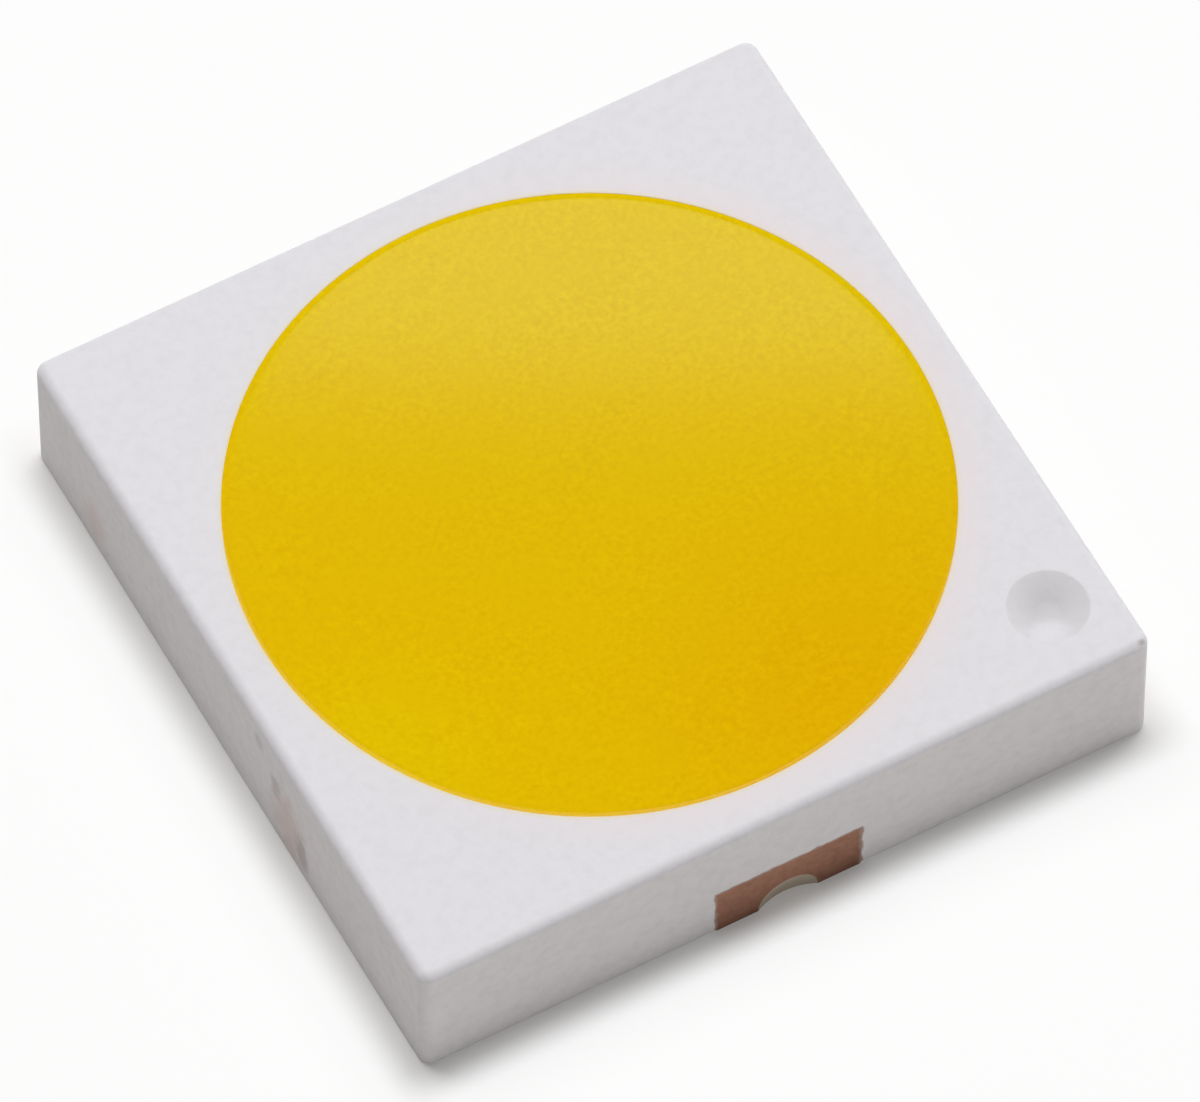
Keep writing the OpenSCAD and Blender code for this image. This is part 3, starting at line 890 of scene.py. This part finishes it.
@dataclass
class Housing:
    """The white moulded body, with its cup, polarity dimple and the seats of both leads."""

    leads: List[Lead]
    width: float = 3.0
    length: float = 3.0
    height: float = 0.60
    corner: float = 0.05
    corner_facets: int = 6
    rim: float = 0.04
    rim_facets: int = 8
    foot: float = 0.012
    foot_facets: int = 3
    floor_height: float = 0.25
    window: float = 2.68
    floor: float = 2.10
    mark: float = 0.31
    mark_depth: float = 0.05
    mark_tip: float = 0.06
    mark_tip_rounding: float = 0.024
    mark_middle: Pair = (1.24, -1.19)
    mark_rounding: float = 0.006
    mark_facets: int = 96
    mark_rounding_facets: int = 4
    seam: float = 0.004
    seam_facets: int = 2
    past: float = 0.1
    facets: int = 256
    piece: Optional[bpy.types.Object] = field(default=None, init=False)

    def cup_radius(self, height: float) -> float:
        """The cup's radius at a height."""
        share = (height - self.floor_height) / (self.height - self.floor_height)
        return self.floor / 2 + (self.window - self.floor) / 2 * share

    def body(self) -> bpy.types.Object:
        """Models the outer block with its rounded edges.

        Returns:
            The block in millimetres.
        """
        size = (self.width, self.length, self.height)
        moulding = block("housing_moulding", size, (-self.width / 2, -self.length / 2, 0))
        top = self.height - LEVEL
        round_edges(moulding, upright, self.corner, self.corner_facets)
        round_edges(moulding, lambda a, b: a.z > top and b.z > top, self.rim, self.rim_facets)
        round_edges(moulding, lambda a, b: a.z < LEVEL and b.z < LEVEL, self.foot, self.foot_facets)
        return moulding

    def cup(self) -> bpy.types.Object:
        """Models the cup's cutter.

        Returns:
            The cutter in millimetres.
        """
        top = self.height + self.past
        bpy.ops.object.select_all(action="DESELECT")
        bpy.ops.mesh.primitive_cone_add(
            vertices=self.facets,
            radius1=self.cup_radius(self.floor_height),
            radius2=self.cup_radius(top),
            depth=top - self.floor_height,
            location=(0, 0, (top + self.floor_height) / 2),
        )
        return added("cup_cutter")

    def dimple(self) -> bpy.types.Object:
        """Models the cutter of the polarity dimple, a blunt cone with a rounded tip.

        Returns:
            The cutter in millimetres.
        """
        low = self.height - self.mark_depth
        spread = (self.mark - self.mark_tip) / 2 / self.mark_depth
        bpy.ops.object.select_all(action="DESELECT")
        bpy.ops.mesh.primitive_cone_add(
            vertices=self.mark_facets,
            radius1=self.mark_tip / 2,
            radius2=self.mark_tip / 2 + spread * (self.mark_depth + self.past),
            depth=self.mark_depth + self.past,
            location=(*self.mark_middle, low + (self.mark_depth + self.past) / 2),
        )
        cutter = added("dimple_cutter")
        round_edges(
            cutter,
            lambda a, b: max(a.z, b.z) < low + LEVEL,
            self.mark_tip_rounding,
            self.mark_rounding_facets,
        )
        return cutter

    def on_mark_rim(self, a: Vector, b: Vector) -> bool:
        """Whether an edge lies on the dimple's rim in the top face."""
        middle = Vector((*self.mark_middle, self.height))
        reach = max((a - middle).length, (b - middle).length)
        return reach < self.mark / 2 + NEAR and min(a.z, b.z) > self.height - LEVEL

    def on_seam(self, a: Vector, b: Vector) -> bool:
        """Whether an edge lies on the outline of a solder pad in the underside."""
        inside = self.width / 2 - self.foot * 2
        return max(a.z, b.z) < LEVEL and max(abs(a.x), abs(b.x), abs(a.y), abs(b.y)) < inside

    def build(self) -> None:
        """Models the housing."""
        self.piece = self.body()
        for lead in self.leads:
            combine(self.piece, lead.blank("lead_cutter"), "DIFFERENCE")
        combine(self.piece, self.cup(), "DIFFERENCE")
        combine(self.piece, self.dimple(), "DIFFERENCE")
        round_edges(self.piece, self.on_mark_rim, self.mark_rounding, self.mark_rounding_facets)
        round_edges(self.piece, self.on_seam, self.seam, self.seam_facets)
        finish_mesh(self.piece)

    def dress(self, material: bpy.types.Material) -> None:
        """Colours the housing and seats it."""
        dress(self.piece, material)
        seat(self.piece, ["housing"])


# ---------------------------------------------------------------- the fill


@dataclass
class Fill:
    """The cured phosphor silicone in the cup, sagging slightly to the middle and rolling off at its rim."""

    housing: Housing
    sag: float = 0.03
    rings: int = 24
    roll: float = 0.028
    roll_drop: float = 0.002
    roll_steps: Tuple[float, ...] = (0.0, 0.25, 0.5, 1.0)
    piece: Optional[bpy.types.Object] = field(default=None, init=False)

    def top_height(self, radius: float) -> float:
        """The height of the cured surface at a radius."""
        rim = self.housing.window / 2
        share = radius / rim
        drop = self.roll_drop * max(0.0, 1 - (rim - radius) / self.roll) ** 2
        return self.housing.height - self.sag * (1 - share * share) - drop

    def build(self) -> None:
        """Models the fill: a disc on the cup floor, drawn up the wall and then inward in rings."""
        bottom = self.housing.floor_height
        radius = self.housing.cup_radius(bottom)
        bpy.ops.object.select_all(action="DESELECT")
        bpy.ops.mesh.primitive_circle_add(
            vertices=self.housing.facets, radius=radius, fill_type="NGON", location=(0, 0, bottom)
        )
        self.piece = added("silicone_fill")
        rim = self.housing.window / 2
        radii = [rim - self.roll * step for step in self.roll_steps]
        inner = radii[-1]
        radii += [inner * (1 - (i + 1) / self.rings) for i in range(self.rings - 1)]
        pick_edges(self.piece, lambda a, b: True)
        here, level = radius, bottom
        for wanted in radii:
            height = self.top_height(wanted)
            bpy.ops.mesh.extrude_region_move(TRANSFORM_OT_translate={"value": (0, 0, height - level)})
            share = wanted / here
            bpy.ops.transform.resize(value=(share, share, 1), center_override=(0, 0, height))
            here, level = wanted, height
        bpy.ops.mesh.edge_face_add()
        bpy.ops.mesh.select_all(action="SELECT")
        bpy.ops.mesh.normals_make_consistent(inside=False)
        bpy.ops.object.mode_set(mode="OBJECT")
        finish_mesh(self.piece)

    def dress(self, material: bpy.types.Material) -> None:
        """Colours the fill and seats it."""
        dress(self.piece, material)
        seat(self.piece, ["phosphor_fill"])


# ---------------------------------------------------------------- what the fill seals


@dataclass
class SealedPieces:
    """The dies, adhesives, metal pads and wires inside the fill, which keep their CAD meshes."""

    nodes: Dict[str, bpy.types.Object]
    names: Dict[Slot, Tuple[str, ...]] = field(
        default_factory=lambda: {
            Slot.DIE: ("die_1", "die_2"),
            Slot.DIE_GLUE: ("die_attach_1", "die_attach_2"),
            Slot.SILICON: ("esd_diode",),
            Slot.SILVER_GLUE: ("esd_attach",),
            Slot.GOLD: (
                "die_1_p_pad",
                "die_1_n_pad",
                "die_2_p_pad",
                "die_2_n_pad",
                "esd_top_pad",
                "wire_anode_to_die_1",
                "wire_die_1_to_die_2",
                "wire_die_2_to_cathode",
                "wire_esd_to_anode",
            ),
        }
    )

    def dress(self) -> None:
        """Gives each sealed node the material of its slot."""
        for slot, finish in INNER_FINISHES.items():
            material = finish.material()
            for name in self.names[slot]:
                dress(self.nodes[name], material)
                LOG.info("%s: %s", name, slot.value)


# ---------------------------------------------------------------- studio and camera


@dataclass
class Studio:
    """A small white floor, a white backdrop round the horizon, a dark ceiling and one softbox; in metres."""

    floor_radius: float = 0.030
    floor_facets: int = 96
    fade_start: float = 0.004
    fade_end: float = 0.024
    floor_whiteness: float = 0.85
    floor_colour: str = "#F2F1EF"
    part_half: float = 0.0015
    contact_start: float = 0.00001
    contact: float = 0.00018
    contact_whiteness: float = 0.14
    fill_light: float = 0.02
    # The walls' light falls from this where they face the lean to nothing on the other side
    walls_light: float = 1.56
    walls_from_deg: float = 5.0
    walls_to_deg: float = 30.0
    walls_lean_to: Triple = (0.6, -0.8, 0.0)
    softbox_height: float = 0.120
    softbox_size: Pair = (0.13, 0.0554)
    softbox_ahead: float = 0.0430
    softbox_right: float = -0.01
    softbox_power: float = 0.183
    # The way from the camera to the part, seen from above
    bearing_deg: float = 61.32

    def lay_floor(self) -> None:
        """Lays the floor, whose outer part fades to the backdrop's white for the camera."""
        bpy.ops.object.select_all(action="DESELECT")
        bpy.ops.mesh.primitive_circle_add(
            vertices=self.floor_facets, radius=self.floor_radius, fill_type="NGON"
        )
        floor = added("studio_floor")
        # Matt white paper, which gives the eye only the part's soft shadow
        on = start_material("studio_floor_paper")
        tree = on.tree
        paper = add_node(tree, Kind.DIFFUSE, {"Color": self.floor_colour, "Roughness": 0.0})
        white = add_node(tree, Kind.EMISSION, {"Color": WHITE, "Strength": 1.0})
        reach = add_node(tree, Kind.VECTOR_MATH, [on.place], operation="LENGTH")
        span = (self.fade_start, self.fade_end, self.floor_whiteness)
        fade = add_node(tree, Kind.MAP_RANGE, [reach, *span], interpolation_type="SMOOTHSTEP")
        # Beneath the part and close round it the paper shows nearly as it is lit, so that the contact stays dark
        _, across, out, _ = on.split()
        furthest = add_node(tree, Kind.MATH, [across, out, self.contact], operation="SMOOTH_MAX")
        span = (
            self.part_half + self.contact_start,
            self.part_half + self.contact,
            self.contact_whiteness / self.floor_whiteness,
        )
        share = add_node(tree, Kind.MAP_RANGE, [furthest, *span], interpolation_type="SMOOTHSTEP")
        for part in (fade, self.seen(tree)):
            share = add_node(tree, Kind.MATH, [share, part], operation="MULTIPLY")
        mixed = add_node(tree, Kind.MIX_SHADER, [share, paper, white])
        add_node(tree, Kind.MATERIAL_OUTPUT, [mixed])
        dress(floor, on.material)

    def seen(self, tree: bpy.types.NodeTree) -> bpy.types.Node:
        """Adds the nodes that tell rays which show the backdrop from rays which light the part.

        Args:
            tree: The tree that takes the nodes.

        Returns:
            A node whose value is 1 for camera, glossy and transmission rays.
        """
        path = add_node(tree, Kind.LIGHT_PATH).outputs
        rays = [path["Is Glossy Ray"], path["Is Transmission Ray"]]
        shiny = add_node(tree, Kind.MATH, rays, operation="MAXIMUM")
        return add_node(tree, Kind.MATH, [path["Is Camera Ray"], shiny], operation="MAXIMUM")

    def hang_backdrop(self) -> None:
        """Makes the world: white walls round the horizon that also light the part weakly, and a dark ceiling."""
        world = bpy.data.worlds.new("studio")
        bpy.context.scene.world = world
        world.use_nodes = True
        tree = world.node_tree
        tree.nodes.clear()
        way = add_node(tree, Kind.COORDINATES).outputs["Generated"]
        height = add_node(tree, Kind.SPLIT, [way]).outputs["Z"]
        top, bottom = (math.sin(math.radians(angle)) for angle in (self.walls_to_deg, self.walls_from_deg))
        walls = add_node(tree, Kind.MAP_RANGE, [height, top, bottom], interpolation_type="SMOOTHSTEP")
        side = add_node(tree, Kind.VECTOR_MATH, [way, self.walls_lean_to], operation="DOT_PRODUCT")
        lean = add_node(tree, Kind.MAP_RANGE, [side, -1.0, 1.0, 0.0, self.walls_light])
        cast = add_node(tree, Kind.MATH, [walls, lean, self.fill_light], operation="MULTIPLY_ADD")
        strength = add_node(tree, Kind.MIX, {0: self.seen(tree), 2: cast, 3: walls}, data_type="FLOAT")
        backdrop = add_node(tree, Kind.BACKGROUND, {"Color": WHITE, "Strength": strength})
        add_node(tree, Kind.WORLD_OUTPUT, [backdrop])

    def hang_softbox(self) -> None:
        """Hangs the softbox, with its far edge just where the middle of the window mirrors it."""
        bearing = math.radians(self.bearing_deg)
        lamp = bpy.data.lights.new("softbox_overhead", "AREA")
        lamp.shape = "RECTANGLE"
        lamp.size, lamp.size_y = self.softbox_size
        lamp.energy = self.softbox_power
        hung = bpy.data.objects.new("softbox_overhead", lamp)
        ahead = Vector((math.cos(bearing), math.sin(bearing), 0))
        right = Vector((math.sin(bearing), -math.cos(bearing), 0))
        hung.location = ahead * self.softbox_ahead + right * self.softbox_right
        hung.location.z = self.softbox_height
        hung.rotation_euler = (0, 0, bearing - math.pi / 2)
        bpy.context.collection.objects.link(hung)

    def build(self) -> None:
        """Sets up the floor, backdrop and light."""
        self.lay_floor()
        self.hang_backdrop()
        self.hang_softbox()


@dataclass
class Viewpoint:
    """The camera at the photograph's place, from its fitted direction, distance and focal length."""

    forward: Triple = (0.2546, 0.4654, -0.8477)
    distance: float = 0.06493
    aim_right: float = 0.000038
    aim_up: float = 0.0001375
    lens: float = 532.1
    sensor: float = 36.0
    clip: Pair = (0.001, 1.0)

    def build(self) -> None:
        """Adds the camera and makes it the scene's own."""
        ahead = Vector(self.forward).normalized()
        right = ahead.cross(Vector((0, 0, 1))).normalized()
        up = right.cross(ahead)
        aim = right * self.aim_right + up * self.aim_up
        data = bpy.data.cameras.new("viewpoint")
        data.sensor_fit = "HORIZONTAL"
        data.sensor_width = self.sensor
        data.lens = self.lens
        data.clip_start, data.clip_end = self.clip
        camera = bpy.data.objects.new("viewpoint", data)
        camera.location = aim - ahead * self.distance
        camera.rotation_euler = ahead.to_track_quat("-Z", "Y").to_euler()
        bpy.context.collection.objects.link(camera)
        bpy.context.scene.camera = camera


def main() -> None:
    """Builds the part, its studio and the camera."""
    logging.basicConfig(level=logging.INFO, format="%(name)s %(message)s")
    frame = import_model()

    cathode = Lead("cathode_strip", "cathode_lead", End.CATHODE, pad_length=1.48, pad_middle=-0.44)
    anode = Lead("anode_strip", "anode_lead", End.ANODE, pad_length=0.48, pad_middle=0.94)
    housing = Housing([cathode, anode])
    fill = Fill(housing)
    plated = PlatedLead().material()
    for lead in (cathode, anode):
        lead.build()
        lead.dress(plated)
    housing.build()
    housing.dress(WhiteCompound().material())
    fill.build()
    fill.dress(PhosphorSilicone().material())
    SealedPieces(frame["nodes"]).dress()

    Studio().build()
    Viewpoint().build()
    bpy.context.scene.view_settings.view_transform = "Standard"


if __name__ == "__main__":
    main()
